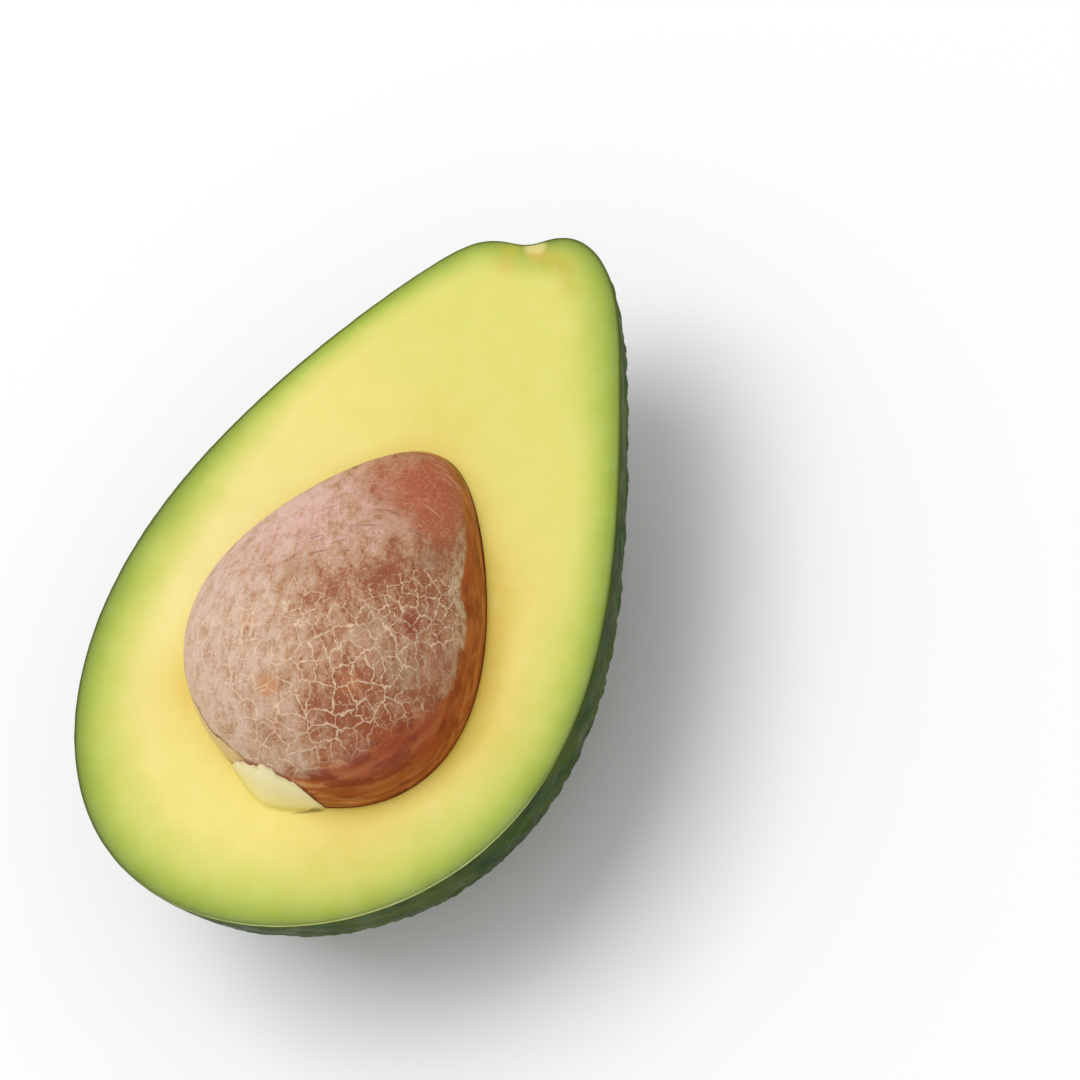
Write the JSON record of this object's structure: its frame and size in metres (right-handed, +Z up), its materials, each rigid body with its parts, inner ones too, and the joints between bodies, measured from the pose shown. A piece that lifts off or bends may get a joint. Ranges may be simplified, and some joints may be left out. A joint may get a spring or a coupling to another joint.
{
  "type": "avocado half",
  "caption": "Lengthways half of a pear-shaped avocado, lying on its skin with the cut face level and the whole seed in its hollow.",
  "frame": {"origin": "middle of the small flat spot on the underside that the half rests on", "axes": "+Z straight up out of the cut face, +Y along the fruit to the stem end, +X across the fruit"},
  "size_m": [0.0739, 0.1118, 0.0565],
  "materials": {
    "skin": "satin",
    "flesh": "satin",
    "seed": "satin"
  },
  "bodies": {
    "root": {"skin": "skin", "flesh": "flesh", "seed": "seed"}
  },
  "joints": []
}
